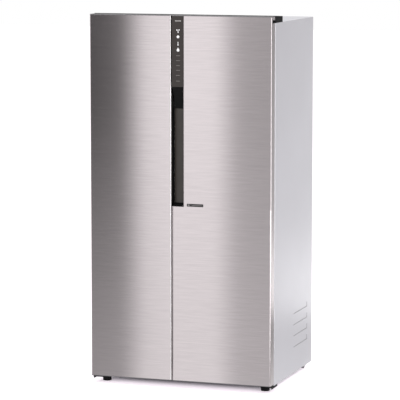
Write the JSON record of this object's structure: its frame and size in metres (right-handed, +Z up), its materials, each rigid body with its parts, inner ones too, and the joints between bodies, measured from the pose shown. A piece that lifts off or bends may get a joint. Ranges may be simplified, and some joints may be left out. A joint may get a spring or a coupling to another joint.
{
  "type": "side by side refrigerator",
  "caption": "Tall two-door side-by-side refrigerator with a vertical control strip over a recessed pocket handle, shelves, drawers, door bins and cooling machinery.",
  "frame": {"origin": "on the floor, under the middle of the object's width and depth", "axes": "+Z up, -Y towards the person who opens the doors, +X to that person's right"},
  "size_m": [0.908, 0.72, 1.79],
  "materials": {
    "case_paint": "satin",
    "plain_steel": "satin",
    "door_steel": "satin",
    "liner_plastic": "gloss",
    "foam": "matte",
    "black_plastic": "satin",
    "cap_plastic": "satin",
    "seal_rubber": "matte",
    "mount_rubber": "matte",
    "hinge_steel": "satin",
    "screw_steel": "satin",
    "shelf_glass": "gloss",
    "trim_plastic": "gloss",
    "clear_plastic": "gloss",
    "lamp_plastic": "satin",
    "coil_aluminium": "satin",
    "coil_paint": "satin",
    "compressor_paint": "satin",
    "fan_plastic": "satin",
    "display_gloss": "gloss",
    "pocket_gloss": "gloss",
    "badge_gloss": "gloss",
    "board_green": "satin",
    "roller_nylon": "satin"
  },
  "bodies": {
    "cabinet": {"side_panel_left": "case_paint", "side_panel_right": "case_paint", "top_panel": "case_paint", "rear_panel": "plain_steel", "bottom_panel": "plain_steel", "compressor_base": "plain_steel", "machine_room_cover": "plain_steel", "mullion_trim": "plain_steel", "fan_shroud": "plain_steel", "freezer_liner": "liner_plastic", "fridge_liner": "liner_plastic", "evaporator_cover": "liner_plastic", "fridge_air_duct": "liner_plastic", "cabinet_foam": "foam", "hinge_cover_left": "black_plastic", "hinge_cover_right": "black_plastic", "top_cover": "black_plastic", "drain_pan": "black_plastic", "compressor_mounts": "mount_rubber", "cord_gland": "mount_rubber", "top_hinges": "hinge_steel", "bottom_hinges": "hinge_steel", "case_screws": "screw_steel", "freezer_shelves": "shelf_glass", "fridge_shelves": "shelf_glass", "shelf_trims": "trim_plastic", "cabinet_lamps": "lamp_plastic", "evaporator_coil": "coil_aluminium", "condenser_coil": "coil_paint", "compressor": "compressor_paint", "fan_motors": "fan_plastic"},
    "freezer_door": {"freezer_door_skin": "door_steel", "freezer_door_foam": "foam", "freezer_door_liner": "liner_plastic", "freezer_door_caps": "cap_plastic", "freezer_door_gasket": "seal_rubber", "freezer_door_grip": "black_plastic", "freezer_door_bins": "clear_plastic"},
    "fridge_door": {"fridge_door_skin": "door_steel", "fridge_door_foam": "foam", "fridge_door_liner": "liner_plastic", "fridge_door_caps": "cap_plastic", "fridge_door_gasket": "seal_rubber", "fridge_door_bins": "clear_plastic", "pocket_housing": "black_plastic", "pocket_panel": "pocket_gloss", "display_panel": "display_gloss", "control_board": "board_green", "badge": "badge_gloss"},
    "dairy_cover": {"dairy_cover": "clear_plastic"},
    "freezer_drawer_lower": {"freezer_drawer_lower": "clear_plastic"},
    "freezer_drawer_upper": {"freezer_drawer_upper": "clear_plastic"},
    "crisper_drawer_lower": {"crisper_drawer_lower": "clear_plastic"},
    "crisper_drawer_upper": {"crisper_drawer_upper": "clear_plastic"},
    "front_foot_left": {"front_foot_left": "black_plastic"},
    "front_foot_right": {"front_foot_right": "black_plastic"},
    "rear_roller_left": {"rear_roller_left": "roller_nylon"},
    "rear_roller_right": {"rear_roller_right": "roller_nylon"},
    "condenser_fan": {"condenser_fan": "fan_plastic"},
    "evaporator_fan": {"evaporator_fan": "fan_plastic"}
  },
  "joints": [
    {"name": "freezer_door_hinge", "type": "hinge", "parent": "cabinet", "child": "freezer_door", "pos_m": [-0.436, -0.3252, 0.9], "axis": [0, 0, -1], "range_deg": [0, 110]},
    {"name": "fridge_door_hinge", "type": "hinge", "parent": "cabinet", "child": "fridge_door", "pos_m": [0.436, -0.3252, 0.9], "axis": [0, 0, 1], "range_deg": [0, 110]},
    {"name": "dairy_cover_hinge", "type": "hinge", "parent": "fridge_door", "child": "dairy_cover", "pos_m": [0.2, -0.2962, 1.55], "axis": [1, 0, 0], "range_deg": [0, 80]},
    {"name": "freezer_drawer_lower_slide", "type": "slide", "parent": "cabinet", "child": "freezer_drawer_lower", "axis": [0, -1, 0], "range_m": [0, 0.06]},
    {"name": "freezer_drawer_upper_slide", "type": "slide", "parent": "cabinet", "child": "freezer_drawer_upper", "axis": [0, -1, 0], "range_m": [0, 0.06]},
    {"name": "crisper_drawer_lower_slide", "type": "slide", "parent": "cabinet", "child": "crisper_drawer_lower", "axis": [0, -1, 0], "range_m": [0, 0.06]},
    {"name": "crisper_drawer_upper_slide", "type": "slide", "parent": "cabinet", "child": "crisper_drawer_upper", "axis": [0, -1, 0], "range_m": [0, 0.06]},
    {"name": "front_foot_left_turn", "type": "hinge", "parent": "cabinet", "child": "front_foot_left", "pos_m": [-0.403, -0.275, 0.01], "axis": [0, 0, 1], "continuous": true},
    {"name": "rear_roller_left_spin", "type": "hinge", "parent": "cabinet", "child": "rear_roller_left", "pos_m": [-0.42, 0.31, 0.02], "axis": [1, 0, 0], "continuous": true},
    {"name": "front_foot_right_turn", "type": "hinge", "parent": "cabinet", "child": "front_foot_right", "pos_m": [0.403, -0.275, 0.01], "axis": [0, 0, 1], "continuous": true},
    {"name": "rear_roller_right_spin", "type": "hinge", "parent": "cabinet", "child": "rear_roller_right", "pos_m": [0.42, 0.31, 0.02], "axis": [1, 0, 0], "continuous": true},
    {"name": "condenser_fan_spin", "type": "hinge", "parent": "cabinet", "child": "condenser_fan", "pos_m": [0.01, 0.244, 0.116], "axis": [1, 0, 0], "continuous": true},
    {"name": "evaporator_fan_spin", "type": "hinge", "parent": "cabinet", "child": "evaporator_fan", "pos_m": [-0.237, 0.24, 0.98], "axis": [0, 1, 0], "continuous": true}
  ]
}
